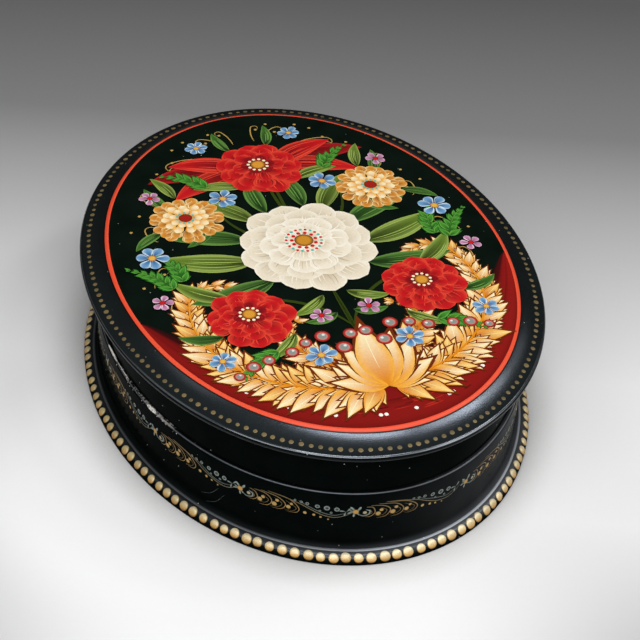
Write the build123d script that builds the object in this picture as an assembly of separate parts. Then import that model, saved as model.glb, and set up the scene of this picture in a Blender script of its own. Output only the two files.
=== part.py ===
from build123d import *
import math
import os

# Oval lacquer box of pressed and wound papier-mache: a lift-off lid on a base with an inner sleeve.
# Millimetres, +Z up, origin on the table under the middle of the box. The long way lies along Y, and
# the foot of the picture faces -Y. Every oval is the base wall's outer oval, grown or shrunk evenly.

# Base wall, a thick wound tube
wall_length = 133.3
wall_width = 102.7
wall_height = 17.1
wall_thick = 4.2

# Bottom board, with a rounded edge that stands out past the wall as a foot
foot_thick = 2.3
foot_overhang = 3.8
foot_round_share = 0.95

# Gilt beads along the foot, low drops of paste: radius, half height, the gap between two of them, how far the
# middle lies under the rounded edge, and tilt
bead_radius = 1.4
bead_half_height = 0.6
bead_gap = 0.16
bead_sink = 0.3
bead_tilt = 47.0

# Inner sleeve, which guides the lid
sleeve_thick = 2.0
sleeve_rise = 7.0
sleeve_clearance = 0.3

# Skirt of the lid, set back from the wall so that the wall's top shows as a narrow ledge
skirt_height = 13.1
ledge_width = 0.9
cove_height = 2.6
cove_reach = 1.5

# Top board of the lid: rounded rim, hollow shoulder and a raised, slightly domed field for the picture
rim_overhang = 4.55
rim_thick = 1.84
rim_round_share = 0.48
shoulder_width = 6.8
shoulder_rise = 2.06
shoulder_hollow = 0.36
field_step = 0.1
field_dome = 0.9

# Small roundings that the ground and the lacquer leave on each arris, and the softer one on the ledge
arris_round = 0.3
lip_round = 0.6
ledge_round = 0.8

# Shape of a cove: at this share of its reach it has climbed this share of its height
cove_mid_reach = 0.25
cove_mid_height = 0.6

# Reading tolerance for picking an edge by its place
pick = 0.02


def oval(margin, height):
    """Oval face at a height, its outline this far outside the base wall's outline."""
    return Pos(0, 0, height) * Ellipse(wall_width / 2 + margin, wall_length / 2 + margin)


def oval_block(margin, bottom, top):
    """Solid oval board between two heights."""
    return extrude(oval(margin, bottom), top - bottom)


def oval_ring(outer, thick, bottom, top):
    """Upright oval tube, its outer face at the given margin."""
    return oval_block(outer, bottom, top) - oval_block(outer - thick, bottom, top)


def rim_edges(solid, margin, height):
    """Edges of one oval outline at one height."""
    level = solid.edges().filter_by_position(Axis.Z, height - pick, height + pick)
    reach = wall_length / 2 + margin
    return level.filter_by(lambda edge: abs(edge.bounding_box().max.Y - reach) < pick)


# Levels, stacked from the table up
joint_level = foot_thick + wall_height
rim_bottom = joint_level + skirt_height
rim_top = rim_bottom + rim_thick
field_level = rim_top + shoulder_rise

# Margins, counted outwards from the base wall's outer face
skirt_margin = -ledge_width
sleeve_margin = -wall_thick
skirt_bore = sleeve_margin + sleeve_clearance
rim_margin = skirt_margin + rim_overhang
field_margin = rim_margin - shoulder_width

# Bottom board, the floor of the box and its foot
foot_round = foot_thick * foot_round_share
bottom_board = oval_block(foot_overhang, 0, foot_thick)
bottom_board = fillet(rim_edges(bottom_board, foot_overhang, foot_thick), foot_round)
bottom_board.label = "bottom_board"

# Gilt beads, drops of gilded paste on the rounded edge of the bottom board
bead_arm = foot_round - bead_sink
bead_margin = foot_overhang - foot_round + bead_arm * math.cos(math.radians(bead_tilt))
bead_level = foot_thick - foot_round + bead_arm * math.sin(math.radians(bead_tilt))
bead_path = oval(bead_margin, bead_level).wire()
bead_count = round(bead_path.length / (2 * bead_radius + bead_gap))
bead = scale(Sphere(bead_radius), by=(1, 1, bead_half_height / bead_radius))


def bead_seat(share):
    """Plane of one bead: it lies along the path and looks out of the rounded edge at the beads' tilt."""
    along = bead_path.tangent_at(share)
    up = Vector(0, 0, 1)
    axis = along.cross(up) * math.cos(math.radians(bead_tilt)) + up * math.sin(math.radians(bead_tilt))
    return Plane(origin=bead_path.position_at(share), x_dir=along, z_dir=axis)


gilt_beads = Compound(children=[bead_seat(i / bead_count) * bead for i in range(bead_count)])
gilt_beads.label = "gilt_beads"

# Base wall, standing on the bottom board
base_wall = oval_ring(0, wall_thick, foot_thick, joint_level)
base_wall = fillet(rim_edges(base_wall, 0, joint_level), ledge_round)
base_wall.label = "base_wall"

# Inner sleeve, glued inside the wall with its upper end standing free
sleeve_top = joint_level + sleeve_rise
inner_sleeve = oval_ring(sleeve_margin, sleeve_thick, foot_thick, sleeve_top)
lip_edges = rim_edges(inner_sleeve, sleeve_margin, sleeve_top)
lip_edges += rim_edges(inner_sleeve, sleeve_margin - sleeve_thick, sleeve_top)
inner_sleeve = fillet(lip_edges, lip_round)
inner_sleeve.label = "inner_sleeve"

# Skirt of the lid, a wound tube glued under the top board, with a cove where they meet
skirt_body = oval_block(skirt_margin, joint_level, rim_bottom)
skirt_body = fillet(rim_edges(skirt_body, skirt_margin, joint_level), arris_round)
cove_foot = oval(skirt_margin, rim_bottom - cove_height)
cove_middle = oval(skirt_margin + cove_reach * cove_mid_reach, rim_bottom - cove_height * (1 - cove_mid_height))
cove_head = oval(skirt_margin + cove_reach, rim_bottom)
skirt_cove = loft([cove_foot, cove_middle, cove_head])
lid_skirt = skirt_body + skirt_cove - oval_block(skirt_bore, joint_level, rim_bottom)
lid_skirt.label = "lid_skirt"

# Top board of the lid: rounded rim, hollow shoulder, domed field
rim_round = rim_thick * rim_round_share
rim_board = oval_block(rim_margin, rim_bottom, rim_top)
rounded = rim_edges(rim_board, rim_margin, rim_top) + rim_edges(rim_board, rim_margin, rim_bottom)
rim_board = fillet(rounded, rim_round)

shoulder_foot = oval(rim_margin - rim_round, rim_top - field_step)
shoulder_middle_margin = (rim_margin - rim_round + field_margin) / 2
shoulder_middle = oval(shoulder_middle_margin, rim_top + shoulder_rise * (1 - shoulder_hollow) / 2)
shoulder_head = oval(field_margin, field_level - field_step)
shoulder = loft([shoulder_foot, shoulder_middle, shoulder_head])

field_reach = wall_length / 2 + field_margin
field_half_width = wall_width / 2 + field_margin
dome_radius = (field_reach**2 + field_dome**2) / (2 * field_dome)
dome_ball = Pos(0, 0, field_level + field_dome - dome_radius) * Sphere(dome_radius)
dome_oval = scale(dome_ball, by=(field_half_width / field_reach, 1, 1))
field_block = oval_block(field_margin, rim_bottom, field_level + 2 * field_dome) & dome_oval

lid_board = rim_board + shoulder + field_block
lid_board.label = "lid_board"

os.makedirs("parts", exist_ok=True)
for piece in (bottom_board, gilt_beads, base_wall, inner_sleeve, lid_skirt, lid_board):
    export_step(piece, os.path.join("parts", piece.label + ".step"))
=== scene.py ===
import math

import bpy
import numpy as np
from mathutils import Matrix, Vector


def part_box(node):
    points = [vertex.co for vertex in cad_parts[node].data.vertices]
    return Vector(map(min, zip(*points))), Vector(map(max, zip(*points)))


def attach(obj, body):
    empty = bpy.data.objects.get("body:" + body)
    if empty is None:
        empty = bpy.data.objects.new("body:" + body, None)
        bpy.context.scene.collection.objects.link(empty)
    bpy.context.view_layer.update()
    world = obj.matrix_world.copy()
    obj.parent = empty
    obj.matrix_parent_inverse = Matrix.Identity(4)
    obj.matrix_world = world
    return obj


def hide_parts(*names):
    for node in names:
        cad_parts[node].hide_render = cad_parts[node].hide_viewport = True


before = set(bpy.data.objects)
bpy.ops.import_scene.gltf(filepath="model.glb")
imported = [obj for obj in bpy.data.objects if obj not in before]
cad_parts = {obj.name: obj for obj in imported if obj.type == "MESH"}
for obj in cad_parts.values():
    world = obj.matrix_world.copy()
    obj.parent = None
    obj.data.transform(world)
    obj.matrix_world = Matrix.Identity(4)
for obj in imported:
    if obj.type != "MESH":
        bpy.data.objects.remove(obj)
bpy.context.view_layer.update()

# Bottom board
# The floor of the box and its foot: a pressed papier-mache board, soaked in oil and baked hard, with its edge
# filed round. It is glued under the wall, lacquered black outside and red inside.
MM = 0.001
wall_low, wall_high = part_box("base_wall")
half_width, half_length = -wall_low.x, wall_high.y
foot_margin = -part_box("bottom_board")[0].x - half_width
foot_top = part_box("bottom_board")[1].z
foot_round = 0.95 * foot_top
sleeve_low, sleeve_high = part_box("inner_sleeve")
sleeve_margin = -sleeve_low.x - half_width
sleeve_thick = 2.0 * MM
around = 360
angles = np.linspace(0, 2 * np.pi, around, endpoint=False)


def oval_spot(turn, margin=0.0):
    """Where an angle meets the wall's outer oval, grown by a margin."""
    return (half_width + margin) * np.cos(turn), (half_length + margin) * np.sin(turn)


def oval(margin, height, share=1.0):
    """Points round an oval at a height, drawn in to a share of its size."""
    x, y = oval_spot(angles, margin)
    return np.column_stack([x * share, y * share, np.full(around, height)])


def bend(centre, radius, start, stop, steps=7):
    """Section points on an arc, as margins and heights, between two angles in degrees."""
    turn = np.radians(np.linspace(start, stop, steps))
    return [(centre[0] + radius * math.cos(a), centre[1] + radius * math.sin(a)) for a in turn]


def straight(start, stop, shares=(0.02, 0.08, 0.2, 0.35, 0.5, 0.65, 0.8, 0.92, 0.98)):
    """Section points between two corners, closer together near each end."""
    return [tuple(a + (b - a) * s for a, b in zip(start, stop)) for s in shares]


def link(name, points, faces, materials, body, smooth=True):
    """Makes a mesh piece that rides on a body."""
    mesh = bpy.data.meshes.new(name)
    mesh.from_pydata([tuple(p) for p in points], [], [tuple(f) for f in faces])
    for material in materials:
        mesh.materials.append(material)
    mesh.polygons.foreach_set("use_smooth", [smooth] * len(mesh.polygons))
    piece = bpy.data.objects.new(name, mesh)
    bpy.context.scene.collection.objects.link(piece)
    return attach(piece, body)


def turned(name, section, materials, body, capped, rows_of=()):
    """A piece turned from a section of ovals: a closed tube, or, where it is capped, a board with a middle
    point at each end. Each later material has its own rows of faces in rows_of, the first has the rest."""
    rings = [oval(*ring) for ring in section]
    rows = len(rings)
    points = np.concatenate(rings)
    faces, slots = [], []
    finish = {row: number for number, group in enumerate(rows_of, 1) for row in group}
    for row in range(rows - 1 if capped else rows):
        near, far = row * around, (row + 1) % rows * around
        for j in range(around):
            k = (j + 1) % around
            faces.append((near + j, near + k, far + k, far + j))
            slots.append(finish.get(row, 0))
    if capped:
        for ring, order in ((0, -1), (rows - 1, 1)):
            points = np.vstack([points, rings[ring].mean(0)])
            for j in range(around):
                edge = (ring * around + j, ring * around + (j + 1) % around)[::order]
                faces.append((*edge, len(points) - 1))
                slots.append(finish.get(ring, 0))
    piece = link(name, points, faces, materials, body)
    piece.data.polygons.foreach_set("material_index", slots)
    return piece


def linear(code):
    """An sRGB hex colour as the linear numbers that shaders read."""
    parts = [int(code[i:i + 2], 16) / 255 for i in (1, 3, 5)]
    return np.array([c / 12.92 if c <= 0.04045 else ((c + 0.055) / 1.055) ** 2.4 for c in parts])


def plug(node, sockets):
    """Fills a node's sockets: another node's output is linked in, a constant is set on the socket itself."""
    for name, value in sockets.items():
        if isinstance(value, bpy.types.NodeSocket):
            node.id_data.links.new(value, node.inputs[name])
        else:
            node.inputs[name].default_value = value


def add(tree, kind, sockets=(), out=0, **settings):
    """Adds a shader node with its settings, fills its sockets and gives back one of its outputs."""
    node = tree.nodes.new("ShaderNode" + kind)
    for name, value in settings.items():
        setattr(node, name, value)
    plug(node, dict(sockets))
    return node.outputs[out]


def finish_named(name, **sockets):
    """A new material: its node tree and its shader, with constants on the shader's own sockets."""
    material = bpy.data.materials.new(name)
    material.use_nodes = True
    shader = material.node_tree.nodes["Principled BSDF"]
    plug(shader, {socket.replace("_", " "): value for socket, value in sockets.items()})
    return material, material.node_tree, shader


def rgba(code):
    """An sRGB hex colour for a colour socket."""
    return (*linear(code), 1.0)


def oil_lacquer(name, deep, pale, gloss, polish, tooth, **sockets):
    """Oil lacquer, brushed on in many coats, baked and polished by hand: deep colour with a soft wet gloss,
    slightly wavy, with a fine grain. Dust lies in it, and bare filler shows on worn edges. Where a piece
    marks it, a pale bluish grey is mixed into the colour as painted highlight and painted sheen, and the
    surface is rougher there. The real grain is too fine to show and is drawn several times coarser."""
    sockets |= {"Specular_IOR_Level": gloss, "Specular_Tint": rgba("#D6E2F4")}
    material, tree, shader = finish_named(name, **sockets)
    place = add(tree, "TexCoord", out="Object")
    cloud_size, grain_size = 7 * MM, 0.3 * MM
    cloud = add(tree, "TexNoise", {"Vector": place, "Scale": 1 / cloud_size, "Detail": 5.0})
    grain = add(tree, "TexNoise", {"Vector": place, "Scale": 1 / grain_size, "Detail": 2.0})
    coat = add(tree, "Mix", {0: cloud, 6: rgba(deep), 7: rgba(pale)}, 2, data_type="RGBA")
    dust_gap, speck_size, speckless_share = 2.4 * MM, 0.06, 0.6
    dust = add(tree, "TexVoronoi", {"Vector": place, "Scale": 1 / dust_gap}, "Distance")
    chance = add(tree, "SeparateColor", {0: dust.node.outputs["Color"]}).node.outputs
    near = add(tree, "Math", {0: dust, 1: speck_size}, operation="LESS_THAN")
    rare = add(tree, "Math", {0: chance[0], 1: speckless_share}, operation="GREATER_THAN")
    faint = add(tree, "Math", {0: near, 1: rare}, operation="MULTIPLY")
    shown = add(tree, "Math", {0: faint, 1: chance[1]}, operation="MULTIPLY")
    dusty = add(tree, "Mix", {0: shown, 6: coat, 7: rgba("#B4B8B2")}, 2, data_type="RGBA")
    wear_size, grey_filler, white_filler = 0.6 * MM, rgba("#4E4C52"), rgba("#C9C4BC")
    rub = add(tree, "TexNoise", {"Vector": place, "Scale": 1 / wear_size, "Detail": 4.0})
    bare = add(tree, "Attribute", out="Fac", attribute_name="bare")
    torn = add(tree, "Math", {0: bare, 1: rub}, operation="ADD")
    worn = add(tree, "MapRange", {"Value": torn, "From Min": 0.98, "From Max": 1.16})
    filler = add(tree, "Mix", {0: bare, 6: grey_filler, 7: white_filler}, 2, data_type="RGBA")
    # Painted highlight and sheen: a pale bluish grey mixed into the colour where the piece marks it.
    painted_sheen = add(tree, "Attribute", out="Fac", attribute_name="painted_sheen")
    uneven = add(tree, "MapRange", {"Value": cloud, "To Min": 0.5, "To Max": 1.1})
    patchy = add(tree, "Math", {0: painted_sheen, 1: uneven}, operation="MULTIPLY", use_clamp=True)
    sheened_colour = add(tree, "Mix", {0: patchy, 6: dusty, 7: rgba("#D5DAE2")}, 2, data_type="RGBA")
    colour = add(tree, "Mix", {0: worn, 6: sheened_colour, 7: filler}, 2, data_type="RGBA")
    uneven_polish, sheen_roughness, filler_dull = 0.08, 0.42, 0.75
    polishes = {"To Min": polish - uneven_polish, "To Max": polish + uneven_polish}
    dull = add(tree, "MapRange", {"Value": grain, **polishes})
    soft = add(tree, "Mix", {0: painted_sheen, 2: dull, 3: sheen_roughness}, data_type="FLOAT")
    rough = add(tree, "Mix", {0: worn, 2: soft, 3: filler_dull}, data_type="FLOAT")
    wave_depth, relief = 0.05 * MM, 0.6
    wave = add(tree, "Bump", {"Height": cloud, "Distance": wave_depth, "Strength": relief})
    fine = add(tree, "Bump", {"Height": grain, "Distance": tooth, "Strength": relief, "Normal": wave})
    plug(shader, {"Base Color": colour, "Roughness": rough, "Normal": fine})
    return material


# Deep black on the sides, which mirrors next to nothing, a greyer and brighter black where hands rub the
# edges, and a cinnabar red inside, where the brush has left paler clouds.
black_lacquer = oil_lacquer("black_oil_lacquer_polished", "#030505", "#0A100E", 0.003, 0.13, 0.003 * MM)
rubbed_lacquer = oil_lacquer("black_oil_lacquer_rubbed_bright", "#040606", "#0C1211", 0.4, 0.22, 0.004 * MM)
red_lacquer = oil_lacquer("red_oil_lacquer_brushed", "#7C0B0D", "#B0161A", 0.2, 0.3, 0.004 * MM)

edge_centre = (foot_margin - foot_round, foot_top - foot_round)
edge_top = (edge_centre[0], foot_top)
inner_margin = sleeve_margin - sleeve_thick
disc_shares = (0.06, 0.25, 0.5, 0.75, 0.93, 0.985)
under_rings = [(foot_margin, 0.0, share) for share in disc_shares]
foot_rings = [(foot_margin, 0.0), *bend(edge_centre, foot_round, 0, 90, 14)]
foot_rings += [*straight(edge_top, (inner_margin, foot_top)), (inner_margin, foot_top)]
floor_rings = [(inner_margin, foot_top, share) for share in disc_shares[::-1]]
board_rings = under_rings + foot_rings + floor_rings
floor_rows = range(len(under_rings + foot_rings) - 1, len(board_rings))
edge_middle, beside_wall = len(under_rings) + 7, len(under_rings) + 19
upper_rows = range(edge_middle, beside_wall)
board_finishes = [black_lacquer, red_lacquer, rubbed_lacquer]
bottom_board = turned("foot_board", board_rings, board_finishes, "base", True, [floor_rows, upper_rows])


def mark(piece, name, level_of):
    """Stores a number from 0 to 1 for each point of a piece, worked out from the points' places."""
    spots = np.empty(len(piece.data.vertices) * 3)
    piece.data.vertices.foreach_get("co", spots)
    values = np.clip(level_of(spots.reshape(-1, 3)), 0, 1)
    piece.data.attributes.new(name, "FLOAT", "POINT").data.foreach_set("value", values.astype(np.float32))


def turn_of(spots):
    """Each point's angle round the oval in degrees; the middle of the front lies at -90."""
    return np.degrees(np.arctan2(spots[:, 1] / half_length, spots[:, 0] / half_width))


def bell(value, middle, span):
    """A share that is 1 at the middle and fades evenly on both sides."""
    return np.exp(-((value - middle) / span) ** 2)


def sheen_toward_front(spots):
    """Where the painted sheen is laid: strongest at the front and fading towards the sides."""
    front, span, least = -76, 46, 0.1
    return least + (1 - least) * bell(turn_of(spots), front, span)


def painted_foot_sheen(spots):
    """A painted sheen in the corner over the foot, outside the wall, thinning out down its rounded edge."""
    most, depth = 0.13, 0.7 * MM
    outside = np.hypot(spots[:, 0] / half_width, spots[:, 1] / half_length) > 1
    return most * outside * sheen_toward_front(spots) * bell(spots[:, 2], foot_top, depth)


# Painted sheen on the foot: a pale bluish grey in its colour.
mark(bottom_board, "painted_sheen", painted_foot_sheen)
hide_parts("bottom_board")

# Gilt beads
# A row of low drops of gesso paste along the rounded edge of the foot, each set by hand and covered with gold
# # powder in varnish, with a dark brown ring round the foot of each drop. The drops are painted lighter
# towards
# # the top and darker towards the bottom, as painted light and shade. Along the long sides of the box they
# are a
# # little smaller, and painted darker as shade.
rng = np.random.default_rng(7)
bead_count, bead_radius, bead_height, bead_tilt = 132, 1.26 * MM, 0.34 * MM, math.radians(47)
uneven_gap, uneven_size, uneven_tilt = 0.0022, 0.05, 0.035
side_shrink, side_shade = 0.13, np.array([0.36, 0.42, 0.56])


def run_along(path):
    """Lengths along a path, up to each of its points."""
    return np.concatenate([[0], np.cumsum(np.linalg.norm(np.diff(path, axis=0), axis=1))])


def even_angles(margin, count):
    """Angles that part an oval into equal lengths."""
    fine = np.linspace(0, 2 * np.pi, 4001)
    run = run_along(np.column_stack(oval_spot(fine, margin)))
    return np.interp(np.arange(count) / count * run[-1], run, fine)


def outward(turn):
    """The level direction straight out of the oval wall at an angle."""
    out = np.stack([np.cos(turn) / half_width, np.sin(turn) / half_length, 0 * turn], -1)
    return out / np.linalg.norm(out, axis=-1, keepdims=True)


def drop(points, faces, seat, radius, height, sides, rows):
    """A drop that has set on a surface: round below, full at the shoulder, a little flat on top. The seat
    tells the point of the surface, and the way straight out of it, for a place along and across the drop."""
    first, fullness, flatness = len(points), 0.8, 0.9
    for row in range(rows):
        lean = math.pi / 2 * row / rows
        reach, rise = radius * math.cos(lean) ** fullness, height * math.sin(lean) ** flatness
        for k in range(sides):
            turn = 2 * math.pi * k / sides
            spot, axis = seat(reach * math.cos(turn), reach * math.sin(turn))
            points.append(spot + rise * axis)
    spot, axis = seat(0.0, 0.0)
    points.append(spot + height * axis)
    for row in range(rows - 1):
        for k in range(sides):
            low, high = first + row * sides, first + (row + 1) * sides
            faces.append((low + k, low + (k + 1) % sides, high + (k + 1) % sides, high + k))
    last = first + (rows - 1) * sides
    faces += [(last + k, last + (k + 1) % sides, len(points) - 1) for k in range(sides)]


def on_foot(angle, tilt):
    """A point on the rounded edge of the foot and the way straight out of it."""
    axis = math.cos(tilt) * outward(angle) + math.sin(tilt) * np.array([0, 0, 1.0])
    middle = edge_centre[0] + foot_round * math.cos(tilt)
    return np.array([*oval_spot(angle, middle), edge_centre[1] + foot_round * math.sin(tilt)]), axis


def coat_of_paint(name, grain, detail, cover, dull=None, relief=None, **sockets):
    """A coat with its colours stored on the mesh. Its grain makes the colour paler and deeper, by the range
    in cover, and where dull and relief are given, also rougher and smoother, and slightly raised."""
    material, tree, shader = finish_named(name, **sockets)
    place = add(tree, "TexCoord", out="Object")
    grains = add(tree, "TexNoise", {"Vector": place, "Scale": 1 / grain, "Detail": detail})
    painted = add(tree, "Attribute", attribute_name="paint")
    thin = add(tree, "MapRange", {"Value": grains, **cover})
    plug(shader, {"Base Color": add(tree, "VectorMath", {0: painted, 1: thin}, operation="MULTIPLY")})
    if relief:
        rough = add(tree, "MapRange", {"Value": grains, "To Min": dull[0], "To Max": dull[1]})
        bump = add(tree, "Bump", {"Height": grains, "Distance": relief, "Strength": 0.5})
        plug(shader, {"Roughness": rough, "Normal": bump})
    return material


def tinted(piece, tones):
    """Stores a linear colour for each point of a piece."""
    layer = piece.data.color_attributes.new("paint", "FLOAT_COLOR", "POINT")
    full = np.ones((len(tones), 4), np.float32)
    full[:, :3] = tones
    layer.data.foreach_set("color", full.ravel())


# Gold powder bound in varnish: a soft metal shine, paler on the high spots and browner where varnish pools.
# The real powder is too fine to show, so that its flakes are drawn about ten times as large.
gold_cover = {"To Min": 0.72, "To Max": 1.18}
gold_powder = {"grain": 0.35 * MM, "detail": 3.0, "cover": gold_cover, "relief": 0.02 * MM}
bead_gold = coat_of_paint("gold_powder_on_gesso", dull=(0.36, 0.56), Metallic=0.25, **gold_powder)
points, faces, tones = [], [], []
bead_sides, bead_rows = 16, 5
# Painted light and shade: each drop's colour runs from dark brown at its bottom to pale cream at its top.
bead_places = np.array([-1.0, -0.62, -0.1, 0.6])
painted_bead_shading = np.array([linear(code) for code in ("#4A3010", "#CE9644", "#F4CA82", "#FFF0C8")])
bead_margin = edge_centre[0] + foot_round * math.cos(bead_tilt)
for angle in even_angles(bead_margin, bead_count):
    angle += rng.normal(0, uneven_gap)
    sideways = math.cos(angle) ** 2
    size = bead_radius * (1 + rng.normal(0, uneven_size)) * (1 - side_shrink * sideways)
    tilt = bead_tilt + rng.normal(0, uneven_tilt)
    pace = math.hypot((half_width + bead_margin) * math.sin(angle),
                      (half_length + bead_margin) * math.cos(angle))

    def bead_seat(along, across):
        return on_foot(angle + along / pace, tilt + across / foot_round)

    first = len(points)
    drop(points, faces, bead_seat, size, bead_height, bead_sides, bead_rows)
    heights = np.array(points[first:])[:, 2]
    places = (heights - on_foot(angle, tilt)[0][2]) / (size * math.cos(tilt))
    shades = np.stack([np.interp(places, bead_places, painted_bead_shading[:, channel]) for channel in range(3)], 1)
    shades[:bead_sides] = linear("#241804")
    shades[bead_sides:2 * bead_sides] *= 0.6
    # Beads along the long sides are painted darker, as shade.
    tones.append(shades * (1 - sideways * side_shade) * rng.uniform(0.88, 1.06))
gilt_beads = link("bead_row", points, faces, [bead_gold], "base")
tinted(gilt_beads, np.concatenate(tones))
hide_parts("gilt_beads")

# Base wall
# A thick tube of paper wound and glued on a wooden former, pressed, baked and filed, then filled and
# # lacquered. Its top stands out a little past the lid as a narrow ledge, worn pale on one side where fingers
# # lift the lid. Thin pale lines are painted as highlights in the corner over the foot and along the ledge's
# # edge, and a faint painted sheen lies on the right of the front.
wall_bottom, joint_level = wall_low.z, wall_high.z
arris, wall_round, foot_cove = 0.3 * MM, 0.8 * MM, 1.6 * MM
worn_spots = ((-81.0 * MM, 8.0 * MM, 0.5), (-66.0 * MM, 8.0 * MM, 0.62))
ledge_share = 0.98

# Lengths along the wall from its -Y end, matched to angles, for one turn each way
run_angles = np.linspace(-2.5 * np.pi, 1.5 * np.pi, 16001)
run_lengths = run_along(np.column_stack(oval_spot(run_angles)))
run_lengths -= np.interp(-0.5 * np.pi, run_angles, run_lengths)


def edge_wear(spots):
    """How bare each point is: most on the edge of the ledge, at the worn spots along the wall."""
    turn = np.radians(turn_of(spots))
    turn = np.where(turn > 0.5 * np.pi, turn - 2 * np.pi, turn)
    along = np.interp(turn, run_angles, run_lengths)
    edge = bell(spots[:, 2], joint_level - 0.1 * MM, 0.5 * MM)
    edge *= np.hypot(spots[:, 0] / half_width, spots[:, 1] / half_length) > ledge_share
    return edge * sum(depth * np.exp(-((along - middle) / span) ** 4) for middle, span, depth in worn_spots)


def painted_wall_highlights(spots):
    """Painted highlights and sheen: a thin pale line in the corner over the foot, with a faint band round it,
    another along the ledge's edge, and a thin sheen on the right of the front."""
    level, wiped, ledge_line_least = spots[:, 2], sheen_toward_front(spots), 0.42
    corner = 0.9 * bell(level, wall_bottom + 0.02 * MM, 0.06 * MM) + 0.05 * bell(level, wall_bottom, 0.7 * MM)
    # A painted highlight along the ledge's edge.
    rubbed = 0.5 * bell(level, joint_level - 0.2 * MM, 0.07 * MM)
    haze_turn, haze_span = -55, 24
    haze = 0.06 * bell(turn_of(spots), haze_turn, haze_span)
    return corner * wiped + rubbed * (ledge_line_least + (1 - ledge_line_least) * wiped) + haze


outer_foot, outer_head = (0.0, wall_bottom + foot_cove), (0.0, joint_level - wall_round)
ledge_out, ledge_in = (-wall_round, joint_level), (sleeve_margin, joint_level)
inner_foot = (sleeve_margin, wall_bottom)
wall_section = bend((foot_cove, wall_bottom + foot_cove), foot_cove, 270, 180, 12)
wall_section += straight(outer_foot, outer_head)
wall_section += bend((-wall_round, joint_level - wall_round), wall_round, 0, 90, 12)
wall_section += [*straight(ledge_out, ledge_in), ledge_in, *straight(ledge_in, inner_foot), inner_foot]
corner_rows, ledge_rows = range(0, 3), range(26, 29)
wall_finishes, rubbed_rows = [black_lacquer, rubbed_lacquer], [*corner_rows, *ledge_rows]
base_wall = turned("box_wall", wall_section, wall_finishes, "base", False, [rubbed_rows])
mark(base_wall, "bare", edge_wear)
# Painted highlights and sheen on the wall.
mark(base_wall, "painted_sheen", painted_wall_highlights)
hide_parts("base_wall")

# Garland on the wall
# A running border painted freehand with a fine brush in gold and silver powder: a small flower, a spray of
# curled strokes with dots inside, then a long stem with silver buds above it and gold dots below.
garland_units, garland_phase, garland_level = 13, -12.2 * MM, 13.7 * MM
hand_drift = {8: 1.6 * MM, 9: 2.8 * MM, 10: 3.4 * MM, 11: 2.8 * MM, 12: 1.4 * MM}
dull_gold, bright_gold = linear("#7A6232"), linear("#C29C52")
silver, pale_silver = linear("#5F6B65"), linear("#A3AEA6")
coat_thick, unit_wobble, touch_wobble = 0.0004 * MM, 0.2 * MM, 0.06 * MM


def out_of_wall(along, reach):
    """Level places this far out of the wall's outer face, at lengths along the wall."""
    turn = np.interp(along, run_lengths, run_angles)
    (x, y), out = oval_spot(turn), outward(turn)
    return x + out[:, 0] * reach, y + out[:, 1] * reach


def on_wall(flat, lift):
    """Wraps lengths along the wall and heights onto the wall's outer face."""
    return np.column_stack([*out_of_wall(flat[:, 0], lift), flat[:, 1]])


def new_film(place):
    """An empty coat of paint that will lie on a surface."""
    return {"place": place, "points": [], "tones": [], "faces": [], "count": 0, "lift": 0.0, "side": 1}


def sweep(start, heading, *runs, steps=14):
    """The path of a brush: it sets out at a heading in degrees and bends evenly over each run, given as a
    length and a bend."""
    path, turn = [np.array(start, float)], math.radians(heading)
    for length, degrees in runs:
        for _ in range(steps):
            turn += math.radians(degrees) / steps / 2
            path.append(path[-1] + length / steps * np.array([math.cos(turn), math.sin(turn)]))
            turn += math.radians(degrees) / steps / 2
    return np.array(path)


def through(corners, steps=8):
    """A smooth path through a few points, as a Catmull-Rom curve."""
    c = np.array([corners[0], *corners, corners[-1]], float)
    t = np.linspace(0, 1, steps, endpoint=False)[:, None]
    parts = []
    for a, b, d, e in zip(c, c[1:], c[2:], c[3:]):
        parts.append(b + 0.5 * t * (d - a + t * (2 * a - 5 * b + 4 * d - e + t * (3 * (b - d) + e - a))))
    return np.vstack([*parts, c[-1:]])


def swell(skew, blunt):
    """How a brush stroke widens and narrows along its way. The skew moves its widest place."""
    return lambda u: np.sin(np.pi * u ** skew) ** blunt


shape_line, shape_leaf = swell(1, 0.45), swell(0.85, 0.85)
shape_petal, shape_tear = swell(1.7, 0.62), swell(0.6, 0.8)


def lay(film, flat, tones, faces):
    """Lays a touch of paint on a film, a coat higher than the last, and mirrored where its side is -1."""
    film["lift"] += coat_thick
    film["points"].append(film["place"](flat * [film["side"], 1], film["lift"]))
    film["tones"].append(tones)
    film["faces"] += [[film["count"] + i for i in face][::film["side"]] for face in faces]
    film["count"] += len(flat)


def square_to(path):
    """The direction square to a path at each of its points."""
    way = np.gradient(path, axis=0)
    way /= np.maximum(np.linalg.norm(way, axis=1), 1e-12)[:, None]
    return np.stack([-way[:, 1], way[:, 0]], 1)


def stroke(film, path, width, shape, tones, across=3):
    """One brush stroke along a path. Its three tones are at its root, at its tip and along its edges."""
    u, v = np.linspace(0, 1, len(path)), np.linspace(-1, 1, across)
    least_share, edge_share = 0.02, 0.9
    half = width / 2 * np.maximum(shape(u), least_share)
    flat = path[:, None] + square_to(path)[:, None] * (half[:, None] * v)[..., None]
    root, tip, edge = tones
    tone = root + (tip - root) * (u * u * (3 - 2 * u))[:, None, None]
    tone = tone + (edge - tone) * (edge_share * np.abs(v) ** 3)[None, :, None]
    spread = np.broadcast_to(tone, (len(u), across, 3)).reshape(-1, 3)
    corners = [i * across + j for i in range(len(u) - 1) for j in range(across - 1)]
    lay(film, flat.reshape(-1, 2), spread, [(c + 1, c + across + 1, c + across, c) for c in corners])


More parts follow.
